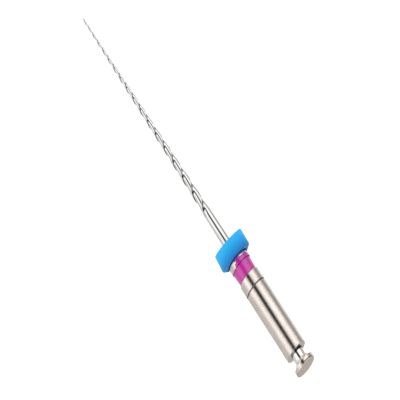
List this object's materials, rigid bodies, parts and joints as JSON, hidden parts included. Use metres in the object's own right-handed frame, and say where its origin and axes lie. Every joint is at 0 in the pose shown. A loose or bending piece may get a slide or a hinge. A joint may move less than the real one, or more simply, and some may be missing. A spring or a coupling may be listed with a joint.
{
  "type": "endodontic file",
  "caption": "Rotary root-canal file with a fluted tapered blade, sliding silicone stopper, colour-coded collar and right-angle latch shank.",
  "frame": {"origin": "centre of the latch button's outer end face", "axes": "+Z along the shank's axis, out of the latch end, away from the blade; the drive flat faces +Y; the tip is at the lowest Z"},
  "size_m": [0.0034, 0.0034, 0.036],
  "materials": {
    "nickel_titanium": "bright ground nickel-titanium",
    "adhesive": "cured adhesive",
    "plated_metal": "fine-turned, nickel plated",
    "lacquer": "glossy colour-code lacquer",
    "silicone": "soft silicone, satin"
  },
  "bodies": {
    "file": {"fluted_blade": "nickel_titanium", "tang_bond": "adhesive", "latch_handle": "plated_metal", "colour_band": "lacquer"},
    "stopper": {"depth_stopper": "silicone"}
  },
  "joints": [
    {"name": "stopper_slide", "type": "slide", "parent": "file", "child": "stopper", "axis": [0, 0, -1], "range_m": [0, 0.011]}
  ]
}
